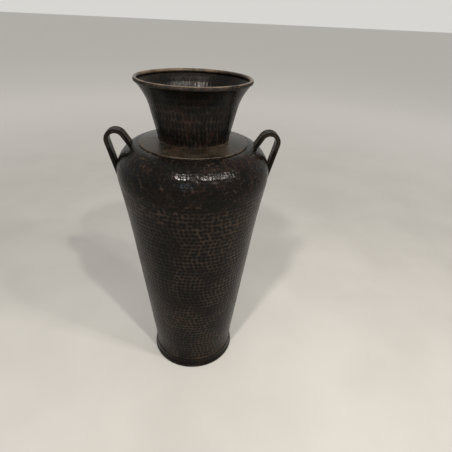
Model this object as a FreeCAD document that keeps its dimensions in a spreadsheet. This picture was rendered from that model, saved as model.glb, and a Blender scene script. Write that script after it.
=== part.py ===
"""Hammered urn vase of sheet copper, modelled in millimetres.

Frame: +Z up, origin on the vase's axis at the plane it stands on, the two handles along X.
Every round shell is one sheet: its outer face is drawn as a path of straight and round
stretches, given the sheet's thickness, and turned about the axis. Neighbouring shells read
the same sizes, so each one seats on the next.
"""

import FreeCAD, Part
import math
import os
import Sketcher

SIZES = {
    # Foot: a waisted band with its lower edge rolled round a wire
    "foot_wire_diameter": 9.4,
    "foot_sheet": 1.2,
    "foot_roll_inset": 0.7,
    "foot_flat_depth": 0.4,
    "foot_lap_height": 22.0,
    "foot_lap": 12.0,
    # Base plate: a disc with a turned-up rim inside the wall
    "base_sheet": 1.5,
    "base_rim_height": 14.0,
    # Body wall: the tapered side from the foot to the seam under the shoulder
    "wall_sheet": 1.2,
    "wall_foot_radius": 130.6,
    "wall_corner_height": 61.2,
    "wall_sweep_reach": 25.2,
    "side_radius": 183.4,
    "side_height": 480.0,
    "haunch_rise": 155.0,
    # Shoulder: the bulge, the round turn and the level crown with the neck's hole
    "bulge_spread": 28.7,
    "seam_inset": 4.3,
    "bulge_rise": 36.0,
    "turn_inset": 39.1,
    "turn_rise": 70.0,
    "crown_rise": 6.5,
    # Collar: the sloping ring that covers the joint of neck and shoulder
    "collar_sheet": 1.2,
    "collar_width": 51.2,
    "collar_edge_height": 3.0,
    "collar_rise": 12.0,
    # Neck: flange, short straight, straight taper, flare and rolled rim
    "neck_sheet": 1.2,
    "neck_radius": 96.8,
    "neck_hole_margin": 7.2,
    "neck_flange_lap": 16.0,
    "neck_straight_rise": 16.5,
    "neck_bend_radius": 40.0,
    "neck_taper_spread": 18.3,
    "neck_taper_rise": 76.0,
    "rim_spread": 38.1,
    "rim_rise": 75.0,
    "rim_wire_diameter": 8.4,
    # Handles: a flattened tube bent to a hairpin, its two ends trimmed to the vase
    "handle_width": 36.0,
    "handle_thickness": 12.0,
    "handle_corner_radius": 4.0,
    "handle_wall": 1.5,
    "handle_bend_radius": 24.5,
    "handle_bend_inset": 3.3,
    "handle_bend_rise": 79.5,
    "handle_foot_inset": 7.5,
    "handle_foot_drop": 31.0,
    "handle_root_inset": 5.0,
    "handle_root_drop": 8.0,
    # Clearances
    "wire_gap": 0.1,
    "solder_gap": 0.15,
    "overrun": 10.0,
}
# How far each rolled edge goes round its wire
ROLL_TURN_DEG = 285.0

doc = FreeCAD.newDocument("urn_vase")
sheet = doc.addObject("Spreadsheet::Sheet", "Sizes")
for row, (alias, number) in enumerate(SIZES.items(), start=1):
    sheet.set(f"A{row}", alias)
    sheet.set(f"B{row}", str(number))
    sheet.setAlias(f"B{row}", alias)
doc.recompute()

# Sums of sizes: one text gives both the value and the expression that binds it


def value(text):
    """The value of a sum of named sizes, such as 'side_radius + bulge_spread'."""
    total = 0.0
    sign = 1
    for word in text.split():
        if word in ("+", "-"):
            sign = 1 if word == "+" else -1
            continue
        alias, _, divisor = word.partition("/")
        total += sign * float(sheet.get(alias)) / float(divisor or 1)
    return total


def bound(text):
    """The document's own expression for a sum of named sizes."""
    return " ".join(word if word in ("+", "-") else f"Sizes.{word}" for word in text.split())


def place(point):
    """The (radius, height) of a point given as two sums."""
    return value(point[0]), value(point[1])


# Plane geometry of a sheet's section: points are (radius, height) pairs


def unit(a, b):
    """Direction from a to b."""
    length = math.dist(a, b)
    return (b[0] - a[0]) / length, (b[1] - a[1]) / length


def shifted(point, direction, distance):
    """The point moved along a direction."""
    return point[0] + direction[0] * distance, point[1] + direction[1] * distance


def left_of(direction):
    """The direction turned a quarter turn to the left."""
    return -direction[1], direction[0]


def line(start, end):
    """A straight stretch."""
    return {"start": start, "end": end, "centre": None, "turn": 0}


def arc(start, end, centre, turn=None):
    """A round stretch: turn is 1 for anticlockwise, -1 for clockwise, or the shorter way."""
    if turn is None:
        one = unit(centre, start)
        two = unit(centre, end)
        turn = 1 if one[0] * two[1] > one[1] * two[0] else -1
    return {"start": start, "end": end, "centre": centre, "turn": turn}


def arc_leaving(start, direction, end):
    """The arc that leaves start along direction and reaches end."""
    side = left_of(direction)
    chord = (end[0] - start[0], end[1] - start[1])
    across = chord[0] * side[0] + chord[1] * side[1]
    return arc(start, end, shifted(start, side, math.dist(start, end) ** 2 / (2 * across)))


def reversed_path(path):
    """The same path from its other end."""
    return [
        {"start": piece["end"], "end": piece["start"], "centre": piece["centre"], "turn": -piece["turn"]}
        for piece in reversed(path)
    ]


def heading(piece, at):
    """The direction of travel at one end of a stretch."""
    if piece["centre"] is None:
        return unit(piece["start"], piece["end"])
    spoke = unit(piece["centre"], piece[at])
    return tuple(piece["turn"] * part for part in left_of(spoke))


def rounded_corner(before, corner, after, radius=None, reach=None):
    """The arc tangent to the two lines meeting at corner, by its radius or by its reach."""
    inward = unit(corner, before)
    onward = unit(corner, after)
    half = 0.5 * math.acos(inward[0] * onward[0] + inward[1] * onward[1])
    if radius is None:
        radius = reach * math.tan(half)
    reach = radius / math.tan(half)
    middle = unit((0.0, 0.0), (inward[0] + onward[0], inward[1] + onward[1]))
    centre = shifted(corner, middle, radius / math.sin(half))
    return arc(shifted(corner, inward, reach), shifted(corner, onward, reach), centre)


def offset_joint(before, after, side, thickness):
    """Where the other faces of two neighbouring stretches meet."""
    one = tuple(side * part for part in left_of(heading(before, "end")))
    two = tuple(side * part for part in left_of(heading(after, "start")))
    spread = 1.0 + one[0] * two[0] + one[1] * two[1]
    return (
        before["end"][0] + thickness * (one[0] + two[0]) / spread,
        before["end"][1] + thickness * (one[1] + two[1]) / spread,
    )


def offset_end(piece, at, side, thickness, cut):
    """Where the sheet's other face ends: square to the sheet, level, or plumb."""
    edge = piece[at]
    normal = tuple(side * part for part in left_of(heading(piece, at)))
    point = shifted(edge, normal, thickness)
    if cut == "square":
        return point
    if piece["centre"] is None:
        along = heading(piece, at)
        axis = 1 if cut == "level" else 0
        return shifted(point, along, (edge[axis] - point[axis]) / along[axis])
    centre = piece["centre"]
    reach = math.sqrt(math.dist(centre, point) ** 2 - (edge[1] - centre[1]) ** 2)
    return centre[0] + math.copysign(reach, point[0] - centre[0]), edge[1]


def offset_path(path, thickness, side, first_cut="square", last_cut="square"):
    """The sheet's other face: the same stretches, moved to the left (1) or right (-1)."""
    points = [offset_end(path[0], "start", side, thickness, first_cut)]
    points += [offset_joint(before, after, side, thickness) for before, after in zip(path, path[1:])]
    points.append(offset_end(path[-1], "end", side, thickness, last_cut))
    return [
        {"start": start, "end": end, "centre": piece["centre"], "turn": piece["turn"]}
        for piece, start, end in zip(path, points, points[1:])
    ]


def sheet_section(path, thickness, side, first_cut="square", last_cut="square"):
    """The closed section of a sheet: its outer face, an end, its inner face and an end."""
    inner = reversed_path(offset_path(path, thickness, side, first_cut, last_cut))
    first_end = line(inner[-1]["end"], path[0]["start"])
    return path + [line(path[-1]["end"], inner[0]["start"])] + inner + [first_end]


def closed(points):
    """A closed outline of straight stretches."""
    return [line(a, b) for a, b in zip(points, points[1:] + points[:1])]


# Sketches and features


def vector(point):
    """A sketch point."""
    return FreeCAD.Vector(point[0], point[1], 0)


def new_body(name):
    """A body under its own name."""
    body = doc.addObject("PartDesign::Body", name)
    body.Label = name
    return body


def new_sketch(body, name, role):
    """A sketch on one of a body's own origin planes."""
    sketch = body.newObject("Sketcher::SketchObject", name)
    plane = next(item for item in body.Origin.OriginFeatures if item.Role == role)
    sketch.AttachmentSupport = [(plane, "")]
    sketch.MapMode = "FlatFace"
    return sketch


def point_number(piece, at):
    """The sketcher's number for a stretch's start, end or centre."""
    if at == "centre":
        return 3
    return 1 if (at == "start") == (piece["turn"] >= 0) else 2


def add_circle(sketch, centre, radius_text, centre_texts):
    """A circle with its centre and radius bound to sums of sizes."""
    number = sketch.addGeometry(
        Part.Circle(vector(centre), FreeCAD.Vector(0, 0, 1), value(radius_text)), False
    )
    index = sketch.addConstraint(Sketcher.Constraint("Radius", number, value(radius_text)))
    sketch.setExpression(f"Constraints[{index}]", bound(radius_text))
    if centre_texts is None:
        sketch.addConstraint(Sketcher.Constraint("Coincident", number, 3, -1, 1))
        return
    for kind, text in zip(("DistanceX", "DistanceY"), centre_texts):
        index = sketch.addConstraint(Sketcher.Constraint(kind, -1, 1, number, 3, value(text)))
        sketch.setExpression(f"Constraints[{index}]", bound(text))


def draw(sketch, outline, pins=(), measures=(), is_closed=True):
    """Draw an outline and bind it.

    Pins are (stretch, "start", "end" or "centre", (sum for radius, sum for height)), and
    measures are (stretch, sum) for an arc's radius or a straight stretch's length.
    """
    for piece in outline:
        if piece["centre"] is None:
            shape = Part.LineSegment(vector(piece["start"]), vector(piece["end"]))
        else:
            spokes = [unit(piece["centre"], piece[at]) for at in ("start", "end")]
            if piece["turn"] < 0:
                spokes.reverse()
            radius = math.dist(piece["centre"], piece["start"])
            circle = Part.Circle(vector(piece["centre"]), FreeCAD.Vector(0, 0, 1), radius)
            angles = [math.atan2(spoke[1], spoke[0]) for spoke in spokes]
            shape = Part.ArcOfCircle(circle, angles[0], angles[1])
        sketch.addGeometry(shape, False)
    count = len(outline)
    for number in range(count if is_closed else count - 1):
        follower = (number + 1) % count
        end = point_number(outline[number], "end")
        start = point_number(outline[follower], "start")
        sketch.addConstraint(Sketcher.Constraint("Coincident", number, end, follower, start))
    for number, at, texts in pins:
        for kind, text in zip(("DistanceX", "DistanceY"), texts):
            if text is None:
                continue
            point = point_number(outline[number], at)
            index = sketch.addConstraint(Sketcher.Constraint(kind, -1, 1, number, point, value(text)))
            sketch.setExpression(f"Constraints[{index}]", bound(text))
    for number, text in measures:
        kind = "Distance" if outline[number]["centre"] is None else "Radius"
        index = sketch.addConstraint(Sketcher.Constraint(kind, number, value(text)))
        sketch.setExpression(f"Constraints[{index}]", bound(text))
    return sketch


def turn_about_axis(body, sketch, kind, name):
    """A full turn of a sketch about the vase's axis, added or taken away."""
    feature = body.newObject(f"PartDesign::{kind}", name)
    feature.Profile = sketch
    feature.ReferenceAxis = (sketch, ["V_Axis"])
    feature.Angle = 360.0
    return feature


def turned(name, outline, pins=(), measures=()):
    """A body of one outline turned about the vase's axis."""
    body = new_body(name)
    sketch = draw(new_sketch(body, f"{name}_section", "XZ_Plane"), outline, pins, measures)
    turn_about_axis(body, sketch, "Revolution", f"{name}_turned")
    return body


def wire_ring(name, centre, radius_text):
    """A ring of round wire inside a rolled edge."""
    body = new_body(name)
    sketch = new_sketch(body, f"{name}_section", "XZ_Plane")
    add_circle(sketch, place(centre), radius_text, centre)
    turn_about_axis(body, sketch, "Revolution", f"{name}_turned")


def roll_arc(centre, start, sense):
    """The rolled edge: an arc that leaves start and goes round centre."""
    spoke = unit(centre, start)
    angle = math.atan2(spoke[1], spoke[0]) + sense * math.radians(ROLL_TURN_DEG)
    end = shifted(centre, (math.cos(angle), math.sin(angle)), math.dist(centre, start))
    return arc(start, end, centre, sense)


# Foot band and its wire

FOOT_ROLL_INNER = "foot_wire_diameter/2 + wire_gap"
FOOT_ROLL_OUTER = FOOT_ROLL_INNER + " + foot_sheet"
FOOT_ROLL = ("wall_foot_radius - foot_roll_inset", FOOT_ROLL_OUTER + " - foot_flat_depth")
BAND_RADIUS = "wall_foot_radius + solder_gap + foot_sheet"
BAND_TOP = (BAND_RADIUS, "foot_lap_height + foot_lap")
BAND_WAIST = (BAND_RADIUS, "foot_lap_height")

foot_roll_inner = value(FOOT_ROLL_INNER)
foot_roll = place(FOOT_ROLL)
band_waist = place(BAND_WAIST)
to_roll = unit(band_waist, foot_roll)
sight = math.dist(band_waist, foot_roll)
lean = math.atan2(-to_roll[0], -to_roll[1]) + math.asin(foot_roll_inner / sight)
down_waist = (-math.sin(lean), -math.cos(lean))
band_touch = shifted(band_waist, down_waist, math.sqrt(sight**2 - foot_roll_inner**2))

foot_path = [
    line(place(BAND_TOP), band_waist),
    line(band_waist, band_touch),
    roll_arc(foot_roll, band_touch, 1),
]
foot_band = turned(
    "foot_band",
    sheet_section(foot_path, value("foot_sheet"), -1),
    [(0, "start", BAND_TOP), (1, "start", BAND_WAIST), (2, "centre", FOOT_ROLL)],
    [(2, FOOT_ROLL_INNER), (3, "foot_sheet"), (4, FOOT_ROLL_OUTER), (7, "foot_sheet")],
)
flat_sketch = new_sketch(foot_band, "foot_flat_outline", "XY_Plane")
add_circle(flat_sketch, (0, 0), FOOT_ROLL[0] + " + " + FOOT_ROLL_OUTER + " + overrun", None)
foot_flat = foot_band.newObject("PartDesign::Pocket", "foot_flat")
foot_flat.Profile = flat_sketch
foot_flat.setExpression("Length", bound("overrun"))

wire_ring("foot_wire", FOOT_ROLL, "foot_wire_diameter/2")

# Body wall

WALL_FOOT = ("wall_foot_radius", "foot_lap_height + solder_gap")
WALL_CORNER = ("wall_foot_radius", "wall_corner_height")
WALL_SWEEP = ("wall_foot_radius", WALL_CORNER[1] + " - wall_sweep_reach")
SIDE = ("side_radius", "side_height")
BULGE_RADIUS = "side_radius + bulge_spread"
SEAM = (BULGE_RADIUS + " - seam_inset", "side_height + haunch_rise")

side = place(SIDE)
seam = place(SEAM)
side_run = unit(place(WALL_CORNER), side)
sweep = rounded_corner(
    place(WALL_FOOT), place(WALL_CORNER), side, reach=value("wall_sweep_reach")
)
haunch = arc_leaving(side, side_run, seam)
wall_path = [
    line(place(WALL_FOOT), sweep["start"]),
    sweep,
    line(sweep["end"], side),
    haunch,
]
turned(
    "body_wall",
    sheet_section(wall_path, value("wall_sheet"), 1, last_cut="level"),
    [
        (0, "start", WALL_FOOT),
        (1, "start", WALL_SWEEP),
        (3, "start", SIDE),
        (3, "end", SEAM),
    ],
    [(9, "wall_sheet")],
)

# Base plate: its lower corner rests on the foot band's waist

BASE_RADIUS = "wall_foot_radius - wall_sheet - solder_gap"
BASE_INNER = BASE_RADIUS + " - base_sheet"

waist_inner = band_waist[0] - value("foot_sheet")
seat_drop = (waist_inner - value(BASE_RADIUS)) / math.tan(lean)
bend_drop = value("foot_sheet") * math.tan(0.5 * lean)
base_height = band_waist[1] - seat_drop + bend_drop + value("solder_gap")
base_floor = base_height + value("base_sheet")
base_rim_top = base_height + value("base_rim_height")
turned(
    "base_plate",
    closed(
        [
            (0.0, base_height),
            (value(BASE_RADIUS), base_height),
            (value(BASE_RADIUS), base_rim_top),
            (value(BASE_INNER), base_rim_top),
            (value(BASE_INNER), base_floor),
            (0.0, base_floor),
        ]
    ),
    [
        (1, "start", (BASE_RADIUS, None)),
        (2, "start", (BASE_RADIUS, None)),
        (3, "start", (BASE_INNER, None)),
        (4, "start", (BASE_INNER, None)),
    ],
    [(1, "base_rim_height"), (5, "base_sheet")],
)

# Shoulder

BULGE = (BULGE_RADIUS, SEAM[1] + " + bulge_rise")
TURN = (BULGE_RADIUS + " - turn_inset", BULGE[1] + " + turn_rise")
CROWN_HEIGHT = TURN[1] + " + crown_rise"
CROWN_HOLE = ("neck_radius + neck_hole_margin", CROWN_HEIGHT)

bulge = place(BULGE)
turn_point = place(TURN)
bulge_low = reversed_path([arc_leaving(bulge, (0.0, -1.0), seam)])[0]
bulge_high = arc_leaving(bulge, (0.0, 1.0), turn_point)
turn_heading = heading(bulge_high, "end")
crown_turn_radius = value("crown_rise") / (1.0 + turn_heading[0])
crown_centre = shifted(turn_point, left_of(turn_heading), crown_turn_radius)
crown_start = (crown_centre[0], value(CROWN_HEIGHT))
crown_turn = arc(turn_point, crown_start, crown_centre)
shoulder_path = [
    bulge_low,
    bulge_high,
    crown_turn,
    line(crown_start, place(CROWN_HOLE)),
]
turned(
    "shoulder",
    sheet_section(shoulder_path, value("wall_sheet"), 1, first_cut="level"),
    [
        (0, "start", SEAM),
        (1, "start", BULGE),
        (2, "start", TURN),
        (3, "start", (None, CROWN_HEIGHT)),
        (3, "end", CROWN_HOLE),
    ],
    [(4, "wall_sheet")],
)

# Collar

COLLAR_FOOT = ("neck_radius + collar_width", CROWN_HEIGHT)
COLLAR_EDGE = (COLLAR_FOOT[0], CROWN_HEIGHT + " + collar_edge_height")
COLLAR_TOP = ("neck_radius + solder_gap", CROWN_HEIGHT + " + collar_rise")

collar_path = [
    line(place(COLLAR_FOOT), place(COLLAR_EDGE)),
    line(place(COLLAR_EDGE), place(COLLAR_TOP)),
]
turned(
    "collar",
    sheet_section(collar_path, value("collar_sheet"), 1, last_cut="plumb"),
    [(0, "start", COLLAR_FOOT), (1, "start", COLLAR_EDGE), (1, "end", COLLAR_TOP)],
    [(5, "collar_sheet")],
)

# Neck with its rolled rim, and the rim's wire

FLANGE_HEIGHT = CROWN_HEIGHT + " + neck_sheet"
FLANGE_EDGE = (CROWN_HOLE[0] + " + neck_flange_lap", FLANGE_HEIGHT)
NECK_ROOT = ("neck_radius", FLANGE_HEIGHT)
NECK_CORNER = ("neck_radius", CROWN_HEIGHT + " + neck_straight_rise")
TAPER_TOP = ("neck_radius + neck_taper_spread", NECK_CORNER[1] + " + neck_taper_rise")
RIM_ROLL_INNER = "rim_wire_diameter/2 + wire_gap"
RIM_ROLL_OUTER = RIM_ROLL_INNER + " + neck_sheet"
TO_RIM_ROLL = " - rim_wire_diameter/2 - wire_gap - neck_sheet"
RIM_ROLL = (
    TAPER_TOP[0] + " + rim_spread" + TO_RIM_ROLL,
    TAPER_TOP[1] + " + rim_rise" + TO_RIM_ROLL,
)

# The flare leaves the taper's top in line with it and touches the wire's side of the roll
rim_roll = place(RIM_ROLL)
rim_roll_inner = value(RIM_ROLL_INNER)
taper_top = place(TAPER_TOP)
taper_run = unit(place(NECK_CORNER), taper_top)
neck_bend = rounded_corner(place(NECK_ROOT), place(NECK_CORNER), taper_top, value("neck_bend_radius"))
outward = (taper_run[1], -taper_run[0])
to_rim = math.dist(taper_top, rim_roll)
reach = (rim_roll[0] - taper_top[0]) * outward[0] + (rim_roll[1] - taper_top[1]) * outward[1]
flare_radius = (to_rim**2 - rim_roll_inner**2) / (2 * (reach - rim_roll_inner))
flare_centre = shifted(taper_top, outward, flare_radius)
rim_touch = shifted(rim_roll, unit(flare_centre, rim_roll), rim_roll_inner)
neck_path = [
    line(place(FLANGE_EDGE), place(NECK_ROOT)),
    line(place(NECK_ROOT), neck_bend["start"]),
    neck_bend,
    line(neck_bend["end"], taper_top),
    arc(taper_top, rim_touch, flare_centre),
    roll_arc(rim_roll, rim_touch, -1),
]
turned(
    "neck",
    sheet_section(neck_path, value("neck_sheet"), 1),
    [
        (0, "start", FLANGE_EDGE),
        (1, "start", NECK_ROOT),
        (4, "start", TAPER_TOP),
        (5, "centre", RIM_ROLL),
    ],
    [
        (2, "neck_bend_radius"),
        (5, RIM_ROLL_INNER),
        (6, "neck_sheet"),
        (7, RIM_ROLL_OUTER),
        (13, "neck_sheet"),
    ],
)
wire_ring("rim_wire", RIM_ROLL, "rim_wire_diameter/2")

# Handles

BEND_CENTRE = (BULGE_RADIUS + " - handle_bend_inset", BULGE[1] + " + handle_bend_rise")
HANDLE_FOOT = (BULGE_RADIUS + " - handle_foot_inset", BULGE[1] + " - handle_foot_drop")
HANDLE_ROOT = (TURN[0] + " - handle_root_inset", TURN[1] + " - handle_root_drop")

bend_centre = place(BEND_CENTRE)
bend_radius = value("handle_bend_radius")


def touch_on_bend(point, side):
    """Where the line from a point touches the handle's bend."""
    away = unit(bend_centre, point)
    swing = side * math.acos(bend_radius / math.dist(bend_centre, point))
    spoke = (
        away[0] * math.cos(swing) - away[1] * math.sin(swing),
        away[0] * math.sin(swing) + away[1] * math.cos(swing),
    )
    return shifted(bend_centre, spoke, bend_radius)


leg_top = touch_on_bend(place(HANDLE_FOOT), 1)
root_top = touch_on_bend(place(HANDLE_ROOT), -1)
handle_path = [
    line(place(HANDLE_FOOT), leg_top),
    arc(leg_top, root_top, bend_centre, 1),
    line(root_top, place(HANDLE_ROOT)),
]
# The vase's outer face behind the handle, a solder gap further out
trim_face = offset_path([haunch, bulge_low, bulge_high, crown_turn], value("solder_gap"), -1)


def rounded_bar(sketch, inset_text):
    """The rounded section of the strap, inset from its outer face on all sides."""
    half_width = value("handle_width/2" + inset_text)
    half_thickness = value("handle_thickness/2" + inset_text)
    corner = value("handle_corner_radius" + inset_text)
    flat_x = half_width - corner
    flat_y = half_thickness - corner
    outline = []
    for sign_x, sign_y in ((1, 1), (-1, 1), (-1, -1), (1, -1)):
        side_point = (sign_x * half_width, sign_y * flat_y)
        face_point = (sign_x * flat_x, sign_y * half_thickness)
        start, end = (side_point, face_point) if sign_x * sign_y > 0 else (face_point, side_point)
        if outline:
            outline.append(line(outline[-1]["end"], start))
        outline.append(arc(start, end, (sign_x * flat_x, sign_y * flat_y)))
    outline.append(line(outline[-1]["end"], outline[0]["start"]))
    negative_inset = inset_text.replace("-", "+")
    draw(
        sketch,
        outline,
        [
            (0, "start", ("handle_width/2" + inset_text, None)),
            (1, "start", (None, "handle_thickness/2" + inset_text)),
            (4, "start", ("- handle_width/2" + negative_inset, None)),
            (5, "start", (None, "- handle_thickness/2" + negative_inset)),
        ],
        [(number, "handle_corner_radius" + inset_text) for number in (0, 2, 4, 6)],
    )


def handle(name, side_deg):
    """A hollow hairpin strap, trimmed where it meets the wall and the shoulder."""
    body = new_body(name)
    spine = draw(
        new_sketch(body, f"{name}_line", "XZ_Plane"),
        handle_path,
        [(0, "start", HANDLE_FOOT), (1, "centre", BEND_CENTRE), (2, "end", HANDLE_ROOT)],
        [(1, "handle_bend_radius")],
        is_closed=False,
    )
    doc.recompute()
    for kind, surface, inset_text in (
        ("AdditivePipe", "outside", ""),
        ("SubtractivePipe", "inside", " - handle_wall"),
    ):
        section = body.newObject("Sketcher::SketchObject", f"{name}_{surface}_section")
        section.AttachmentSupport = [(spine, "Edge1")]
        section.MapMode = "NormalToEdge"
        section.MapPathParameter = 0.0
        rounded_bar(section, inset_text)
        doc.recompute()
        pipe = body.newObject(f"PartDesign::{kind}", f"{name}_{surface}")
        pipe.Profile = section
        pipe.Spine = (spine, ["Edge1", "Edge2", "Edge3"])
        doc.recompute()
    untrimmed_volume = body.Shape.Volume
    low = trim_face[0]["start"]
    high = trim_face[-1]["end"]
    to_axis = [
        line(high, (0.0, high[1])),
        line((0.0, high[1]), (0.0, low[1])),
        line((0.0, low[1]), low),
    ]
    trim_outline = draw(new_sketch(body, f"{name}_trim_outline", "XZ_Plane"), trim_face + to_axis)
    turn_about_axis(body, trim_outline, "Groove", f"{name}_trim")
    doc.recompute()
    if not body.Shape.Volume < untrimmed_volume:
        raise SystemExit(f"{name}: the trim took nothing away")
    body.Placement = FreeCAD.Placement(
        FreeCAD.Vector(0, 0, 0),
        FreeCAD.Rotation(FreeCAD.Vector(0, 0, 1), side_deg),
    )


handle("handle_right", 0.0)
handle("handle_left", 180.0)

# Check and write

doc.recompute()
for item in doc.Objects:
    if "Invalid" in item.State or "Error" in item.State:
        raise SystemExit(f"{item.Name} failed: {item.State}")
pieces = [item for item in doc.Objects if item.TypeId == "PartDesign::Body"]
for piece in pieces:
    if piece.Shape.isNull() or not piece.Shape.isValid() or len(piece.Shape.Solids) != 1:
        raise SystemExit(f"{piece.Label} isn't one valid solid")
os.makedirs("parts", exist_ok=True)
for piece in pieces:
    piece.Shape.exportStep(f"parts/{piece.Label}.step")
    print(f"{piece.Label}: {piece.Shape.Volume / 1000:.1f} cm3")
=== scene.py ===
# %% [markdown]
# # A hammered copper urn, made the way a coppersmith makes it
# The real vase is sheet copper. The smith raises each shell, hammers it in rows, rolls the rim
# and the foot round a wire, solders on two strap handles and darkens everything with a patina.
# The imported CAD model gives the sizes. This script re-makes the shells that show, with real
# hammer dents in the mesh, and gives every piece a finish.

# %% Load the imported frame
import math

import bpy
from mathutils import Matrix, Vector


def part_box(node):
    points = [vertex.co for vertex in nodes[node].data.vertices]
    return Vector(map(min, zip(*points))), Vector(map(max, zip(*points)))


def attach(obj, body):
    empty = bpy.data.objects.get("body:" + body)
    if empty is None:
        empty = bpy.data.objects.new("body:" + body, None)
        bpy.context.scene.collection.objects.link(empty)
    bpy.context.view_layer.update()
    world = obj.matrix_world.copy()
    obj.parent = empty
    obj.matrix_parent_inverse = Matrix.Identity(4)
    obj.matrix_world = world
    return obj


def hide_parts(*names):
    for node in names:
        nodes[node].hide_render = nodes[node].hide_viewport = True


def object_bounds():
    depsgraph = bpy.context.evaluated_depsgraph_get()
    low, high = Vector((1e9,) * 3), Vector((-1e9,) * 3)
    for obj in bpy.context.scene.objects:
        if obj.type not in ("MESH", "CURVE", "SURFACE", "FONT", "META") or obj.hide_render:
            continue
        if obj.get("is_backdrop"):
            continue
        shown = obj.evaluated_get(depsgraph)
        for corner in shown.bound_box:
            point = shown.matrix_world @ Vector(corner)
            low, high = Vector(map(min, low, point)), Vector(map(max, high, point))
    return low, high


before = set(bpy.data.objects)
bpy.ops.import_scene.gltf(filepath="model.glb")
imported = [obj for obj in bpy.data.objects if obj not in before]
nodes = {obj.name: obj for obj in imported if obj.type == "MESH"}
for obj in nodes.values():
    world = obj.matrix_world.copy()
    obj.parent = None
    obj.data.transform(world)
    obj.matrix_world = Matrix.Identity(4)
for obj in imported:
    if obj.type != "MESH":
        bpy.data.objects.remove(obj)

cad_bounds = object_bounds()
print("CAD nodes:", sorted(nodes))

# %% [markdown]
# ## Camera
# The photograph was taken by someone standing in front of the vase, looking down at it with the
# phone tilted a little. The camera is set by where it stands, which way it looks and how far it
# leans, so that the rim, the collar and the foot show as the same ellipses.

# %% Place the camera
CAMERA_PLACE = (0.0, -1.0207, 1.0647)
CAMERA_YAW_DEG = -5.617
CAMERA_PITCH_DEG = 60.287
CAMERA_ROLL_DEG = 2.861
FOCAL_PIXELS = 379.0
PHOTO_PIXELS = 452
SENSOR_MM = 36.0

camera_data = bpy.data.cameras.new("camera")
camera_data.sensor_width = SENSOR_MM
camera_data.lens = FOCAL_PIXELS / PHOTO_PIXELS * SENSOR_MM
camera = bpy.data.objects.new("camera", camera_data)
bpy.context.scene.collection.objects.link(camera)
camera.matrix_world = (
    Matrix.Translation(CAMERA_PLACE)
    @ Matrix.Rotation(math.radians(CAMERA_YAW_DEG), 4, "Z")
    @ Matrix.Rotation(math.radians(CAMERA_PITCH_DEG), 4, "X")
    @ Matrix.Rotation(math.radians(CAMERA_ROLL_DEG), 4, "Z")
)
bpy.context.scene.camera = camera
bpy.context.scene.view_settings.view_transform = "Standard"
print("lens in mm:", round(camera_data.lens, 2))

# %% [markdown]
# ## A pen for sections
# Every shell is round, so it is drawn once as a section and then turned. The pen starts as a
# plane merged to one vertex. It extrudes that vertex along straight stretches and spins it about
# a centre for round ones, as one would by hand, and it can come back along its own path one
# sheet thickness further in.


# %% Select one piece, turn a direction
PEN_MARK = 0.001
WELD = 1e-5


def select_only(piece):
    """Make one object the only selected one, and the active one."""
    bpy.ops.object.select_all(action="DESELECT")
    piece.select_set(True)
    bpy.context.view_layer.objects.active = piece


def turned(vector, angle):
    """A plane vector turned anticlockwise."""
    cosine, sine = math.cos(angle), math.sin(angle)
    return Vector((vector.x * cosine - vector.y * sine, vector.x * sine + vector.y * cosine))


# %% The pen, which draws with edit-mode operators
class Pen:
    """Draws in the plane y = 0; points are (radius, height)."""

    def __init__(self, name, start, heading=(0, 1)):
        bpy.ops.object.select_all(action="DESELECT")
        bpy.ops.mesh.primitive_plane_add(size=PEN_MARK, location=(start[0], 0, start[1]))
        self.piece = bpy.context.object
        self.piece.name = self.piece.data.name = name
        bpy.ops.object.transform_apply(location=True, rotation=True, scale=True)
        bpy.ops.object.mode_set(mode="EDIT")
        bpy.ops.mesh.select_all(action="SELECT")
        bpy.ops.mesh.merge(type="CENTER")
        self.place = Vector(start)
        self.heading = Vector(heading).normalized()
        self.stretches = []

    def line(self, end, step):
        """A straight stretch, cut into steps."""
        run = Vector(end) - self.place
        count = max(1, round(run.length / step))
        move = {"value": (run.x / count, 0, run.y / count)}
        for _ in range(count):
            bpy.ops.mesh.extrude_vertices_move(TRANSFORM_OT_translate=move)
        self.place = Vector(end)
        self.heading = run.normalized()
        self.stretches.append(("line", run.copy()))

    def arc(self, centre, turn, step):
        """A round stretch about a centre; turn is in radians, anticlockwise."""
        spoke = self.place - Vector(centre)
        count = max(2, math.ceil(abs(turn) * spoke.length / step))
        bpy.ops.mesh.spin(steps=count, angle=turn, center=(centre[0], 0, centre[1]), axis=(0, 1, 0))
        self.place = Vector(centre) + turned(spoke, turn)
        self.heading = turned(self.heading, turn)
        self.stretches.append(("arc", (centre, turn)))

    def arc_to(self, end, step):
        """The round stretch that goes on in the pen's own direction and reaches end."""
        chord = Vector(end) - self.place
        side = turned(self.heading, math.pi / 2)
        radius = chord.length_squared / (2 * chord.dot(side))
        centre = self.place + side * radius
        turn = 2 * math.asin(max(-1.0, min(1.0, chord.length / (2 * abs(radius)))))
        self.arc(tuple(centre), math.copysign(turn, radius), step)

    def back(self, thickness, step):
        """Return along the path, one thickness to the left of it, in coarser steps."""
        drawn = list(self.stretches)
        inward = turned(self.heading, math.pi / 2)
        self.line(tuple(self.place + inward * thickness), thickness)
        self.heading = turned(inward, math.pi / 2)
        for kind, what in reversed(drawn):
            if kind == "line":
                self.line(tuple(self.place - what), step)
            else:
                self.arc(what[0], -what[1], step)


# %% Turn a section into a shell
def turn_round(piece, steps):
    """Turn the drawn section about the vase's axis, and weld it into one skin."""
    bpy.ops.mesh.select_all(action="SELECT")
    bpy.ops.mesh.spin(steps=steps, angle=2 * math.pi, center=(0, 0, 0), axis=(0, 0, 1))
    bpy.ops.mesh.select_all(action="SELECT")
    bpy.ops.mesh.remove_doubles(threshold=WELD)
    bpy.ops.mesh.normals_make_consistent(inside=False)
    bpy.ops.object.mode_set(mode="OBJECT")
    select_only(piece)
    print(piece.name, "faces:", len(piece.data.polygons))
    return piece


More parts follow.
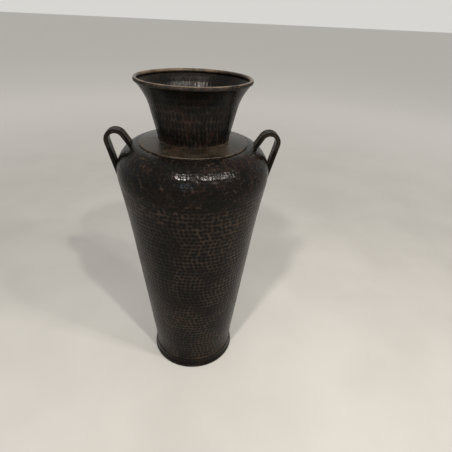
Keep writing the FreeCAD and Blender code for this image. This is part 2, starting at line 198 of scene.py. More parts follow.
def face_away(piece):
    """Turn a single skin's faces away from the vase's axis, judged where it is narrowest."""
    narrow = min(piece.data.polygons, key=lambda face: face.center.x**2 + face.center.y**2)
    outwards = narrow.normal.x * narrow.center.x + narrow.normal.y * narrow.center.y > 0
    if not outwards:
        select_only(piece)
        bpy.ops.object.mode_set(mode="EDIT")
        bpy.ops.mesh.select_all(action="SELECT")
        bpy.ops.mesh.flip_normals()
        bpy.ops.object.mode_set(mode="OBJECT")
    print(piece.name, "faced outwards when drawn:", outwards)


# %% [markdown]
# ## Measures
# What the frame can say is read from it: where the shells meet, how wide they are, and where the
# wires lie. The few points in between are named here, as a smith marks them on a template. Every
# point is given as its distance from the vase's axis and its height, in metres.

# %% Measures of the shells
_, foot_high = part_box("foot_band")
wall_low, wall_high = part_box("body_wall")
_, shoulder_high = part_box("shoulder")
_, collar_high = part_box("collar")
_, neck_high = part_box("neck")

SHEET = 0.0012
GAP = 0.00015
FOOT_RADIUS = 0.1306
WALL_FOOT = (FOOT_RADIUS, wall_low.z)
WALL_CORNER = (FOOT_RADIUS, 0.0612)
WALL_SWEEP = 0.400
SIDE = (0.1834, 0.480)
SEAM = (shoulder_high.x - 0.0043, wall_high.z)
BULGE = (shoulder_high.x, wall_high.z + 0.036)
TURN = (BULGE[0] - 0.0391, BULGE[1] + 0.070)
CROWN = shoulder_high.z
NECK_RADIUS = 0.0968
CROWN_HOLE = 0.104
COLLAR_TOP = (NECK_RADIUS + GAP, CROWN + 0.012)

print("seam at", round(SEAM[1], 4), "crown at", round(CROWN, 4))


# %% Where a round stretch lies
def unit(a, b):
    """Direction from a to b in the section's plane."""
    return (Vector(b) - Vector(a)).normalized()


def rounded_corner(before, corner, after, radius):
    """First and last point of the arc that rounds a corner."""
    inward, onward = unit(corner, before), unit(corner, after)
    reach = radius / math.tan(0.5 * inward.angle(onward))
    return Vector(corner) + inward * reach, Vector(corner) + onward * reach


# %% The three round stretches of the bulge
bulge_radius = ((BULGE[0] - TURN[0]) ** 2 + (TURN[1] - BULGE[1]) ** 2) / (2 * (BULGE[0] - TURN[0]))
bulge_centre = (BULGE[0] - bulge_radius, BULGE[1])
low_rise = BULGE[1] - SEAM[1]
low_radius = ((BULGE[0] - SEAM[0]) ** 2 + low_rise**2) / (2 * (BULGE[0] - SEAM[0]))
low_centre = (BULGE[0] - low_radius, BULGE[1])
low_turn = math.asin(low_rise / low_radius)
high_turn = math.asin((TURN[1] - BULGE[1]) / bulge_radius)
crown_radius = (CROWN - TURN[1]) / (1 - math.sin(high_turn))
crown_centre = (
    TURN[0] - crown_radius * math.cos(high_turn),
    TURN[1] - crown_radius * math.sin(high_turn),
)
print("bulge radius", round(bulge_radius, 4), "crown turn radius", round(crown_radius, 4))

# %% [markdown]
# ## Hammer blows
# A smith planishes row by row, walking round the vase, and every blow leaves a shallow bowl. The
# blows are kept as loose rings of points, one ring for each row and one point for each blow. The
# points are then shaken a little, because no hand strikes evenly: sideways for where a blow
# lands, and in or out for how hard it is.


# %% Rows of blows
ROW_OFFSET = 0.37
FEWEST_BLOWS = 12


def start_blows(name):
    """An empty mesh in edit mode, to which rows are added."""
    bpy.ops.object.select_all(action="DESELECT")
    bpy.ops.mesh.primitive_circle_add(vertices=3, radius=PEN_MARK)
    blows = bpy.context.object
    blows.name = name
    bpy.ops.object.mode_set(mode="EDIT")
    bpy.ops.mesh.select_all(action="SELECT")
    bpy.ops.mesh.delete(type="VERT")
    return blows


def add_row(radius, height, pitch, shake, row):
    """One ring of blows, a pitch apart, shaken by up to shake."""
    count = max(FEWEST_BLOWS, round(2 * math.pi * radius / pitch))
    start = ROW_OFFSET * row
    bpy.ops.mesh.select_all(action="DESELECT")
    bpy.ops.mesh.primitive_circle_add(
        vertices=count, radius=radius, location=(0, 0, height), rotation=(0, 0, start)
    )
    bpy.ops.transform.vertex_random(offset=shake, uniform=0.0, normal=0.0, seed=row)
    return count


def touch(node, start, towards):
    """Where a probe from start first meets a CAD node; points are (radius, height)."""
    origin = Vector((start[0], WELD, start[1]))
    direction = (Vector((towards[0], WELD, towards[1])) - origin).normalized()
    found, place, _, _ = nodes[node].ray_cast(origin, direction)
    if not found:
        raise RuntimeError(f"the probe missed {node}")
    return place.x, place.z


# %% [markdown]
# The rows are even low on the wall and grow looser towards the seam. On the shoulder they lie
# closer, and they stop where the collar will cover them. The CAD node is probed for the radius of
# each row, so that the blows land on the real surface.

# %% Blows on the wall and the shoulder
WALL_PITCH = 0.0125
SHOULDER_PITCH = 0.0086
EVEN_SHAKE = 0.0022
LOOSE_SHAKE = 0.0040
ROWS_LOW = 0.048
LOOSE_FROM = 0.47
LOOSE_FULL = 0.63
LAST_ROW = math.radians(88)
PROBE = 0.4

body_blows = start_blows("body_blows")
row = 0
blow_count = 0
height = ROWS_LOW
while height < SEAM[1]:
    share = min(1.0, max(0.0, (height - LOOSE_FROM) / (LOOSE_FULL - LOOSE_FROM)))
    shake = EVEN_SHAKE + (LOOSE_SHAKE - EVEN_SHAKE) * share
    radius, _ = touch("body_wall", (PROBE, height), (0, height))
    blow_count += add_row(radius, height, WALL_PITCH, shake, row)
    height += WALL_PITCH
    row += 1
angle = (height - BULGE[1]) / bulge_radius
while angle < LAST_ROW:
    out = turned(Vector((PROBE, 0)), angle)
    radius, height = touch(
        "shoulder", (bulge_centre[0] + out.x, bulge_centre[1] + out.y), bulge_centre
    )
    blow_count += add_row(radius, height, SHOULDER_PITCH, LOOSE_SHAKE, row)
    angle += SHOULDER_PITCH / bulge_radius
    row += 1
bpy.ops.object.mode_set(mode="OBJECT")
print("rows:", row, "blows:", blow_count)

# %% Blows on the neck
NECK_ROWS = (0.770, 0.785, 0.800, 0.817, 0.836, 0.855, 0.874, 0.893)
NECK_PITCH = 0.0100
NECK_SHAKE = 0.0030
SQUEEZE_NECK = 0.36

neck_blows = start_blows("neck_blows")
for row, height in enumerate(NECK_ROWS):
    radius, _ = touch("neck", (PROBE, height), (0, height))
    add_row(radius, height, NECK_PITCH, NECK_SHAKE, row)
bpy.ops.object.mode_set(mode="OBJECT")
print("neck blows:", len(neck_blows.data.vertices))

# %% [markdown]
# ## The hammer
# A geometry-node modifier strikes the skin. It finds the nearest blow, pushes the skin in by a
# round bowl whose depth falls off to nothing at the bowl's edge, and where two bowls meet a ridge
# stays, exactly as on hammered sheet. It also writes how far each point is from its blow, so that
# the finish can wear the ridges and leave the hollows dark.


# %% Sockets of a node group
def socket(tree, name, kind, default=None):
    """A named input of a node group."""
    made = tree.interface.new_socket(name=name, in_out="INPUT", socket_type=kind)
    if default is not None:
        made.default_value = default
    return made


def result(tree, name, kind):
    """A named output of a node group."""
    return tree.interface.new_socket(name=name, in_out="OUTPUT", socket_type=kind)


def feed(tree, target, value):
    """Link a socket to an input, or set the input to a plain value."""
    if isinstance(value, bpy.types.NodeSocket):
        tree.links.new(value, target)
    else:
        target.default_value = value


# %% Math and vector nodes
def math_node(tree, operation, *values, clamp=False):
    """A Math node and its output."""
    node = tree.nodes.new("ShaderNodeMath")
    node.operation = operation
    node.use_clamp = clamp
    for target, value in zip(node.inputs, values):
        feed(tree, target, value)
    return node.outputs[0]


def vector_node(tree, operation, *values, scale=None):
    """A Vector Math node and its output."""
    node = tree.nodes.new("ShaderNodeVectorMath")
    node.operation = operation
    for target, value in zip(node.inputs, values):
        feed(tree, target, value)
    if scale is not None:
        feed(tree, node.inputs["Scale"], scale)
    return node.outputs["Value" if operation in ("LENGTH", "DOT_PRODUCT") else "Vector"]


def split(tree, vector):
    """The X, Y and Z outputs of a vector."""
    node = tree.nodes.new("ShaderNodeSeparateXYZ")
    tree.links.new(vector, node.inputs[0])
    return node.outputs


def join(tree, across=0.0, along=0.0, up=0.0):
    """A vector from three values or sockets."""
    node = tree.nodes.new("ShaderNodeCombineXYZ")
    for target, value in zip(node.inputs, (across, along, up)):
        feed(tree, target, value)
    return node.outputs[0]


# %% Ramps and noise
def ramp(tree, value, low, high, to_low=0.0, to_high=1.0):
    """A smooth step from one value to another."""
    node = tree.nodes.new("ShaderNodeMapRange")
    node.interpolation_type = "SMOOTHSTEP"
    for name, part in (
        ("Value", value), ("From Min", low), ("From Max", high),
        ("To Min", to_low), ("To Max", to_high),
    ):
        feed(tree, node.inputs[name], part)
    return node.outputs["Result"]


def noise(tree, vector, scale, detail=2.0, roughness=0.5, distortion=0.0):
    """A noise value from 0 to 1."""
    node = tree.nodes.new("ShaderNodeTexNoise")
    for name, part in (
        ("Vector", vector), ("Scale", scale), ("Detail", detail),
        ("Roughness", roughness), ("Distortion", distortion),
    ):
        feed(tree, node.inputs[name], part)
    return node.outputs["Fac"]


# %% Which way a blow pushes the sheet
def away_from_ring(tree, given, place, parts):
    """Direction from a ring inside the shell to the skin, which is the way the sheet faces."""
    radial = vector_node(tree, "NORMALIZE", join(tree, parts["X"], parts["Y"]))
    ring = vector_node(tree, "SCALE", radial, scale=given["Ring radius"])
    height = math_node(tree, "MINIMUM", parts["Z"], given["Ring height"])
    ring_point = vector_node(tree, "ADD", ring, join(tree, up=height))
    return vector_node(tree, "NORMALIZE", vector_node(tree, "SUBTRACT", place, ring_point))


# %% How far the nearest blow is
def from_nearest_blow(tree, given, place):
    """Distance to the nearest blow; a squeeze under 1 makes the blow's mark tall."""
    squeeze = join(tree, 1.0, 1.0, given["Squeeze"])
    info = tree.nodes.new("GeometryNodeObjectInfo")
    feed(tree, info.inputs["Object"], given["Blows"])
    squeezed = tree.nodes.new("GeometryNodeTransform")
    feed(tree, squeezed.inputs["Geometry"], info.outputs["Geometry"])
    feed(tree, squeezed.inputs["Scale"], squeeze)
    near = tree.nodes.new("GeometryNodeProximity")
    near.target_element = "POINTS"
    feed(tree, near.inputs["Geometry"], squeezed.outputs["Geometry"])
    feed(tree, near.inputs["Sample Position"], vector_node(tree, "MULTIPLY", place, squeeze))
    return near.outputs["Distance"]


# %% How deep the sheet is pushed
WAVER_SCALE = 14.0


def bowl_depth(tree, given, place, height, distance):
    """A round bowl under the blow, faded out by height, and a slow waver of the whole sheet."""
    left = math_node(
        tree, "SUBTRACT",
        math_node(tree, "MULTIPLY", given["Reach"], given["Reach"]),
        math_node(tree, "MULTIPLY", distance, distance),
    )
    bowl = math_node(
        tree, "DIVIDE",
        math_node(tree, "MAXIMUM", left, 0.0),
        math_node(tree, "MULTIPLY", given["Face radius"], 2.0),
    )
    kept = ramp(tree, height, given["Marks fade from"], given["Marks end at"], 1.0, 0.0)
    waver = math_node(tree, "MULTIPLY", noise(tree, place, WAVER_SCALE, 1.0), given["Waver"])
    return math_node(tree, "ADD", math_node(tree, "MULTIPLY", bowl, kept), waver)


# %% The hammer modifier
def make_hammer():
    """Geometry nodes that dent the struck side of a skin at the nearest blow."""
    tree = bpy.data.node_groups.new("hammer", "GeometryNodeTree")
    socket(tree, "Skin", "NodeSocketGeometry")
    socket(tree, "Blows", "NodeSocketObject")
    for name, default in (
        ("Face radius", 0.024), ("Reach", 0.007), ("Squeeze", 1.0), ("Marks fade from", 2.0),
        ("Marks end at", 3.0), ("Ring radius", 0.13), ("Ring height", 0.67), ("Waver", 0.0),
    ):
        socket(tree, name, "NodeSocketFloat", default)
    result(tree, "Skin", "NodeSocketGeometry")
    given = tree.nodes.new("NodeGroupInput").outputs
    place = tree.nodes.new("GeometryNodeInputPosition").outputs[0]
    normal = tree.nodes.new("GeometryNodeInputNormal").outputs[0]
    parts = split(tree, place)

    outward = away_from_ring(tree, given, place, parts)
    distance = from_nearest_blow(tree, given, place)
    depth = bowl_depth(tree, given, place, parts["Z"], distance)
    facing = vector_node(tree, "DOT_PRODUCT", normal, outward)
    depth = math_node(tree, "MULTIPLY", depth, math_node(tree, "GREATER_THAN", facing, 0.0))

    dent = tree.nodes.new("GeometryNodeSetPosition")
    feed(tree, dent.inputs["Geometry"], given["Skin"])
    push_in = math_node(tree, "MULTIPLY", depth, -1.0)
    feed(tree, dent.inputs["Offset"], vector_node(tree, "SCALE", outward, scale=push_in))
    store = tree.nodes.new("GeometryNodeStoreNamedAttribute")
    store.data_type = "FLOAT"
    store.domain = "POINT"
    feed(tree, store.inputs["Geometry"], dent.outputs["Geometry"])
    store.inputs["Name"].default_value = "from_blow"
    share = math_node(tree, "DIVIDE", distance, given["Reach"], clamp=True)
    feed(tree, store.inputs["Value"], share)
    outlet = tree.nodes.new("NodeGroupOutput").inputs[0]
    tree.links.new(store.outputs["Geometry"], outlet)
    return tree


hammer = make_hammer()
print("hammer nodes:", len(hammer.nodes))


# %% Strike a piece, measure it, shade it smooth
def strike(piece, blows, **settings):
    """Apply the hammer to a piece; settings are the modifier's inputs by name."""
    select_only(piece)
    modifier = piece.modifiers.new("hammer", "NODES")
    modifier.node_group = hammer
    sockets = hammer.interface.items_tree
    names = {item.name: item.identifier for item in sockets if item.in_out == "INPUT"}
    modifier[names["Blows"]] = blows
    for name, value in settings.items():
        modifier[names[name.replace("_", " ")]] = value
    bpy.ops.object.modifier_apply(modifier=modifier.name)
    print(piece.name, "struck, lowest and highest:", [round(v, 4) for v in span(piece)])


def span(piece):
    """Lowest and highest point of a piece."""
    heights = [vertex.co.z for vertex in piece.data.vertices]
    return min(heights), max(heights)


def smooth(piece, angle_deg=40):
    """Shade a piece smooth, with its sharp edges kept."""
    select_only(piece)
    bpy.ops.object.shade_smooth_by_angle(angle=math.radians(angle_deg))


# %% [markdown]
# ## Body wall and shoulder
# Both shells are drawn as a closed section: up the outside in fine steps that can carry dents,
# over the edge, and back down the inside in coarse ones, where nobody sees more than a dark wall.
# The hammer's ring lies inside the bulge, so below it a blow pushes straight in towards the axis,
# and above it along the round of the shoulder. The wall is drawn a little thicker than real sheet,
# so that no dent breaks through to the inside.

# %% Body wall
FINE = 0.0028
COARSE = 0.030
WALL_STEPS = 384
WALL_THICK = 0.0022
HAMMER = {
    "Face_radius": 0.026, "Reach": 0.0070, "Waver": 0.0005,
    "Ring_radius": bulge_centre[0] - 0.002, "Ring_height": BULGE[1],
}

sweep_start, sweep_end = rounded_corner(WALL_FOOT, WALL_CORNER, SIDE, WALL_SWEEP)
pen = Pen("hammered_wall", WALL_FOOT)
pen.line(sweep_start, FINE)
pen.arc_to(sweep_end, FINE)
pen.line(SIDE, FINE)
pen.arc_to(SEAM, FINE)
pen.back(WALL_THICK, COARSE)
pen.line(WALL_FOOT, WALL_THICK)
wall = turn_round(pen.piece, WALL_STEPS)
strike(wall, body_blows, **HAMMER)
smooth(wall)

# %% Shoulder
SHOULDER_FINE = 0.0021
SHOULDER_STEPS = 600

pen = Pen("hammered_shoulder", SEAM, heading=(math.sin(low_turn), math.cos(low_turn)))
pen.arc(low_centre, low_turn, SHOULDER_FINE)
pen.arc(bulge_centre, high_turn, SHOULDER_FINE)
pen.arc(crown_centre, math.pi / 2 - high_turn, SHOULDER_FINE)
pen.line((CROWN_HOLE, CROWN), COARSE)
pen.back(WALL_THICK, COARSE)
pen.line(SEAM, WALL_THICK)
shoulder = turn_round(pen.piece, SHOULDER_STEPS)
strike(shoulder, body_blows, **HAMMER)
smooth(shoulder)

# %% [markdown]
# ## Neck with its rolled rim
# The neck is one skin from its hidden flange, up the trumpet and round the wire. Solidify then
# gives it the sheet's thickness. It is struck twice, outside against the axis and inside against a
# wide ring beyond it, so that the tall marks show inside the mouth as well.

# %% Measures of the neck
NECK_FINE = 0.0021
NECK_STEPS = 420
ROLL_TURN = math.radians(285)
ROLL_STEP = 0.0012
NECK_CORNER = (NECK_RADIUS, CROWN + 0.0165)
NECK_BEND = 0.040
TAPER_TOP = (NECK_RADIUS + 0.0183, NECK_CORNER[1] + 0.076)
FLANGE = (0.120, CROWN + SHEET)

rim_low, rim_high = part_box("rim_wire")
rim_wire_radius = 0.5 * (rim_high.z - rim_low.z)
rim_centre = Vector((rim_high.x - rim_wire_radius, rim_low.z + rim_wire_radius))
roll_radius = neck_high.z - rim_centre.y - SHEET
print("rim roll radius", round(roll_radius, 5))

neck_low_end = (NECK_RADIUS, FLANGE[1])
bend_start, bend_end = rounded_corner(neck_low_end, NECK_CORNER, TAPER_TOP, NECK_BEND)
taper = unit(NECK_CORNER, TAPER_TOP)
outward = Vector((taper.y, -taper.x))
to_rim = rim_centre - Vector(TAPER_TOP)
flare_radius = (to_rim.length_squared - roll_radius**2) / (2 * (to_rim.dot(outward) - roll_radius))
flare_centre = Vector(TAPER_TOP) + outward * flare_radius
rim_touch = rim_centre + (rim_centre - flare_centre).normalized() * -roll_radius
print("flare radius", round(flare_radius, 4))


# %% Neck
def thicken(piece, thickness):
    """Give a single skin its sheet thickness, inwards."""
    select_only(piece)
    modifier = piece.modifiers.new("sheet", "SOLIDIFY")
    modifier.thickness = thickness
    modifier.offset = -1.0
    bpy.ops.object.modifier_apply(modifier=modifier.name)


pen = Pen("trumpet_neck", FLANGE)
pen.line(neck_low_end, COARSE)
pen.line(bend_start, NECK_FINE)
pen.arc_to(bend_end, NECK_FINE)
pen.line(TAPER_TOP, NECK_FINE)
pen.arc_to(rim_touch, NECK_FINE)
pen.arc(tuple(rim_centre), -ROLL_TURN, ROLL_STEP)
neck = turn_round(pen.piece, NECK_STEPS)
face_away(neck)
thicken(neck, SHEET)
NECK_HAMMER = {"Reach": 0.0062, "Squeeze": SQUEEZE_NECK, "Ring_height": 2.0}
strike(neck, neck_blows, Face_radius=0.016, Marks_fade_from=0.850, Marks_end_at=0.880,
       Ring_radius=0.0, Waver=0.0004, **NECK_HAMMER)
strike(neck, neck_blows, Face_radius=0.030, Marks_fade_from=0.895, Marks_end_at=0.904,
       Ring_radius=0.5, Waver=0.0003, **NECK_HAMMER)
smooth(neck)

# %% [markdown]
# ## Collar
# The collar is a plain ring with a crisp step. Its outer edge catches the light, so the edge is
# rounded. The last strike has a face so flat that it leaves no dents, only a slow waver, as a
# smooth piece of hand work has.

# %% Collar
COLLAR_STEPS = 256
COLLAR_EDGE = (collar_high.x, CROWN + 0.003)
COLLAR_ROUND = 0.0014
COLLAR_LIFT = 0.0002
COLLAR_STEP = 0.002
slope = unit(COLLAR_EDGE, COLLAR_TOP)

pen = Pen("stepped_collar", (COLLAR_EDGE[0], CROWN + COLLAR_LIFT))
pen.line((COLLAR_EDGE[0], COLLAR_EDGE[1] - COLLAR_ROUND), COLLAR_STEP / 2)
pen.arc_to(tuple(Vector(COLLAR_EDGE) + slope * COLLAR_ROUND), 0.0003)
pen.line(COLLAR_TOP, COLLAR_STEP)
collar = turn_round(pen.piece, COLLAR_STEPS)
face_away(collar)
thicken(collar, SHEET)
strike(collar, neck_blows, Face_radius=5.0, Reach=0.002, Ring_radius=0.10, Ring_height=0.70,
       Waver=0.0006)
smooth(collar, 30)

# %% [markdown]
# ## Foot band
# The foot is waisted and rolled outwards round its wire. The roll stands on the floor, so its
# lowest part is cut flat.

# %% Measures of the foot
FOOT_STEPS = 256
FOOT_STEP = 0.0025
WIRE_PLAY = 0.0001
wire_low, wire_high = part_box("foot_wire")
foot_wire_radius = 0.5 * (wire_high.z - wire_low.z)
foot_centre = Vector((wire_high.x - foot_wire_radius, wire_low.z + foot_wire_radius))
foot_roll = foot_wire_radius + WIRE_PLAY + SHEET
WAIST = (WALL_FOOT[0] + GAP + SHEET, WALL_FOOT[1] - GAP)
sight = foot_centre - Vector(WAIST)
lean = math.asin((foot_roll - SHEET) / sight.length)
down = turned(sight.normalized(), lean)
foot_touch = Vector(WAIST) + down * math.sqrt(sight.length_squared - (foot_roll - SHEET) ** 2)
print("foot wire centre", foot_centre, "roll starts", foot_touch)

# %% Foot band
pen = Pen("waisted_foot", (WAIST[0], foot_high.z), heading=(0, -1))
pen.line(WAIST, FOOT_STEP)
pen.line(foot_touch, FOOT_STEP)
pen.arc(tuple(foot_centre), ROLL_TURN, ROLL_STEP)
foot = turn_round(pen.piece, FOOT_STEPS)
face_away(foot)
thicken(foot, SHEET)
select_only(foot)
bpy.ops.object.mode_set(mode="EDIT")
bpy.ops.mesh.select_all(action="SELECT")
bpy.ops.mesh.bisect(
    plane_co=(0, 0, 0), plane_no=(0, 0, 1), use_fill=True, clear_inner=True, threshold=1e-6
)
bpy.ops.object.mode_set(mode="OBJECT")
smooth(foot)

# %% [markdown]
# ## Handles
# The strap is reeded on its outer face and flat inside. Its section is drawn once, pushed up the
# outer leg, spun round the bend, and pushed down to the root. The vase's own form then cuts both
# ends, so that they sit on it like a soldered joint.

# %% Measures of the strap
HALF_WIDTH = 0.018
HALF_THICK = 0.006
REEDS = 3
REED_DEPTH = 0.0022
REED_FACETS = 10
STRAP_CORNER = 0.0035
CORNER_FACETS = 5
FLAT_STEPS = 6
LEG_STEP = 0.006
BEND_RADIUS = 0.0245
BEND_CENTRE = (BULGE[0] - 0.0033, BULGE[1] + 0.0795)
HANDLE_FOOT = (BULGE[0] - 0.0075, BULGE[1] - 0.031)
HANDLE_ROOT = (TURN[0] - 0.005, TURN[1] - 0.008)
HANDLE_STEP = 0.0025


def touch_on_bend(point, side):
    """Where the line from a point touches the handle's bend."""
    away = Vector(point) - Vector(BEND_CENTRE)
    swing = side * math.acos(BEND_RADIUS / away.length)
    return Vector(BEND_CENTRE) + turned(away.normalized(), swing) * BEND_RADIUS


leg_top = touch_on_bend(HANDLE_FOOT, 1)
root_top = touch_on_bend(HANDLE_ROOT, -1)
leg_run = unit(HANDLE_FOOT, leg_top)
reed_width = 2 * HALF_WIDTH / REEDS
reed_radius = (reed_width**2 / 4 + REED_DEPTH**2) / (2 * REED_DEPTH)
reed_half_angle = math.asin(reed_width / 2 / reed_radius)
print("leg heading", leg_run, "reed radius", round(reed_radius, 5))

# %% The three reeds of the strap's section
bpy.ops.object.select_all(action="DESELECT")
bpy.ops.mesh.primitive_plane_add(
    size=PEN_MARK, location=(HALF_THICK - REED_DEPTH, -HALF_WIDTH, 0)
)
strap = bpy.context.object
strap.name = strap.data.name = "reeded_strap"
bpy.ops.object.transform_apply(location=True, rotation=True, scale=True)
bpy.ops.object.mode_set(mode="EDIT")
bpy.ops.mesh.select_all(action="SELECT")
bpy.ops.mesh.merge(type="CENTER")
for reed in range(REEDS):
    middle = -HALF_WIDTH + reed_width * (reed + 0.5)
    bpy.ops.mesh.spin(
        steps=REED_FACETS, angle=2 * reed_half_angle,
        center=(HALF_THICK - reed_radius, middle, 0), axis=(0, 0, -1),
    )

# %% The sides and the flat back of the section
side_run = 2 * HALF_THICK - REED_DEPTH - STRAP_CORNER
back_run = 2 * (HALF_WIDTH - STRAP_CORNER)
back = STRAP_CORNER - HALF_THICK
bpy.ops.mesh.extrude_vertices_move(TRANSFORM_OT_translate={"value": (-side_run, 0, 0)})
bpy.ops.mesh.spin(
    steps=CORNER_FACETS, angle=math.pi / 2, center=(back, HALF_WIDTH - STRAP_CORNER, 0),
    axis=(0, 0, -1),
)
flat_move = {"value": (0, -back_run / FLAT_STEPS, 0)}
for _ in range(FLAT_STEPS):
    bpy.ops.mesh.extrude_vertices_move(TRANSFORM_OT_translate=flat_move)
bpy.ops.mesh.spin(
    steps=CORNER_FACETS, angle=math.pi / 2, center=(back, STRAP_CORNER - HALF_WIDTH, 0),
    axis=(0, 0, -1),
)
bpy.ops.mesh.extrude_vertices_move(TRANSFORM_OT_translate={"value": (side_run, 0, 0)})
bpy.ops.mesh.select_all(action="SELECT")
bpy.ops.mesh.remove_doubles(threshold=WELD)
bpy.ops.mesh.edge_face_add()

# %% Stand the section square to the leg
bpy.ops.transform.rotate(
    value=-math.atan2(leg_run.x, leg_run.y), orient_axis="Y", center_override=(0, 0, 0)
)
bpy.ops.transform.translate(value=(HANDLE_FOOT[0], 0, HANDLE_FOOT[1]))
bpy.ops.object.mode_set(mode="OBJECT")
corners = [Vector((vertex.co.x, vertex.co.z)) for vertex in strap.data.vertices]
off_square = max((corner - Vector(HANDLE_FOOT)).dot(leg_run) for corner in corners)
print("section off square by", round(off_square, 6))


# %% Push the section along the hairpin
def push(count, run):
    """Extrude the selected end face in equal steps."""
    for _ in range(count):
        bpy.ops.mesh.extrude_region_move(
            TRANSFORM_OT_translate={"value": (run.x / count, 0, run.y / count)}
        )


select_only(strap)
bpy.ops.object.mode_set(mode="EDIT")
bpy.ops.mesh.select_all(action="SELECT")
leg = leg_top - Vector(HANDLE_FOOT)
push(round(leg.length / LEG_STEP), leg)
start_angle = math.atan2(leg_top.y - BEND_CENTRE[1], leg_top.x - BEND_CENTRE[0])
end_angle = math.atan2(root_top.y - BEND_CENTRE[1], root_top.x - BEND_CENTRE[0])
bend_turn = (end_angle - start_angle) % (2 * math.pi)
bpy.ops.mesh.spin(
    steps=math.ceil(bend_turn * BEND_RADIUS / HANDLE_STEP), angle=bend_turn,
    center=(BEND_CENTRE[0], 0, BEND_CENTRE[1]), axis=(0, 1, 0),
)
root = Vector(HANDLE_ROOT) - root_top
push(round(root.length / LEG_STEP), root)
bpy.ops.mesh.select_all(action="SELECT")
bpy.ops.mesh.remove_doubles(threshold=WELD)
bpy.ops.mesh.select_all(action="DESELECT")
bpy.ops.mesh.select_interior_faces()
print("faces left inside the strap:", sum(face.select for face in strap.data.polygons))
bpy.ops.mesh.delete(type="ONLY_FACE")
bpy.ops.mesh.select_all(action="SELECT")
bpy.ops.mesh.normals_make_consistent(inside=False)
bpy.ops.object.mode_set(mode="OBJECT")
print("strap faces", len(strap.data.polygons), "bend", round(math.degrees(bend_turn), 1))

# %% [markdown]
# The former is a solid of the vase's own outside, without dents. It is subtracted from the strap
# and thrown away, which leaves the strap's ends lying on the shoulder and the wall.

# %% Cut the strap to the vase
FORMER_STEPS = 512

pen = Pen("vase_former", (0.0, SIDE[1]), heading=(1, 0))
pen.line((SIDE[0] + GAP, SIDE[1]), 1.0)
pen.heading = unit(WALL_CORNER, SIDE)
pen.arc_to((SEAM[0] + GAP, SEAM[1]), 0.004)
pen.heading = Vector((math.sin(low_turn), math.cos(low_turn)))
pen.arc(low_centre, low_turn, 0.003)
pen.arc(bulge_centre, high_turn, 0.003)
pen.arc(crown_centre, math.pi / 2 - high_turn, 0.003)
pen.line((0.0, CROWN), 1.0)
former = turn_round(pen.piece, FORMER_STEPS)

select_only(strap)
cut = strap.modifiers.new("fit to the vase", "BOOLEAN")
cut.operation = "DIFFERENCE"
cut.solver = "EXACT"
cut.object = former
bpy.ops.object.modifier_apply(modifier=cut.name)
select_only(former)
bpy.ops.object.delete()
smooth(strap, 50)

# %% The second handle, a copy turned to the other side
select_only(strap)
bpy.ops.object.duplicate()
left_strap = bpy.context.object
bpy.ops.object.mode_set(mode="EDIT")
bpy.ops.mesh.select_all(action="SELECT")
bpy.ops.transform.rotate(value=math.pi, orient_axis="Z", center_override=(0, 0, 0))
bpy.ops.object.mode_set(mode="OBJECT")
strap.name = strap.data.name = "right_strap"
left_strap.name = left_strap.data.name = "left_strap"
for piece in (strap, left_strap):
    low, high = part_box("handle_right" if piece is strap else "handle_left")
    xs = [vertex.co.x for vertex in piece.data.vertices]
    zs = [vertex.co.z for vertex in piece.data.vertices]
    print(piece.name, [round(v, 4) for v in (min(xs), max(xs), min(zs), max(zs))],
          "CAD", [round(v, 4) for v in (low.x, high.x, low.z, high.z)])

# %% Put the rows of blows away
for tool in (body_blows, neck_blows):
    select_only(tool)
    bpy.ops.object.delete()
made = (wall, shoulder, neck, collar, foot, strap, left_strap)
print("pieces made:", [piece.name for piece in made])

# %% [markdown]
# ## Patina
# The metal is copper that was darkened nearly black. Handling has worn the high places back to a
# warm brown, rusty patches have come through, and waxing has left a soft sheen. One shared group
# mixes these layers, so every piece is finished with the same recipe.


# %% Colours
def linear(level):
    """One level from 0 to 255, turned to linear light."""
    return ((level / 255 + 0.055) / 1.055) ** 2.4 if level > 10 else level / 255 / 12.92


def colour(red, green, blue):
    """A colour given as it looks on screen."""
    return (linear(red), linear(green), linear(blue), 1.0)


def mix(tree, share, first, second):
    """Two colours mixed."""
    node = tree.nodes.new("ShaderNodeMix")
    node.data_type = "RGBA"
    feed(tree, node.inputs[0], share)
    feed(tree, node.inputs[6], first)
    feed(tree, node.inputs[7], second)
    return node.outputs[2]


# %% Layers of the patina
GRAIN_SCALE = 160.0
SPECK_SCALE = 420.0
SPECK_COLOUR = colour(132, 112, 94)


def worn_share(tree, given, patches, grain):
    """How much of the brown shows, from the Wear input, made uneven by patches and grain."""
    # On the collar the Wear input also carries a painted highlight along the stepped edge.
    uneven = math_node(
        tree, "ADD",
        ramp(tree, patches, 0.40, 0.62, 0.18, 1.0),
        ramp(tree, grain, 0.35, 0.7, -0.15, 0.25),
    )
    return math_node(tree, "MULTIPLY", given["Wear"], uneven, clamp=True)


def rusty_share(tree, given, place, grain):
    """How much rust shows, in blotches that are finer than the patches."""
    size = math_node(tree, "MULTIPLY", given["Patch size"], 1.7)
    blotches = math_node(
        tree, "MULTIPLY",
        ramp(tree, noise(tree, place, size, 5.0, 0.65, 1.2), 0.50, 0.68),
        ramp(tree, grain, 0.30, 0.62, 0.3, 1.0),
    )
    return math_node(tree, "MULTIPLY", given["Rust share"], blotches, clamp=True)


def sheen_roughness(tree, given, patches, grain):
    """The piece's own roughness, a little duller in some patches."""
    dulled = math_node(
        tree, "ADD",
        ramp(tree, patches, 0.3, 0.7, -0.07, 0.07),
        ramp(tree, grain, 0.3, 0.7, -0.05, 0.08),
    )
    return math_node(tree, "ADD", given["Roughness"], dulled, clamp=True)


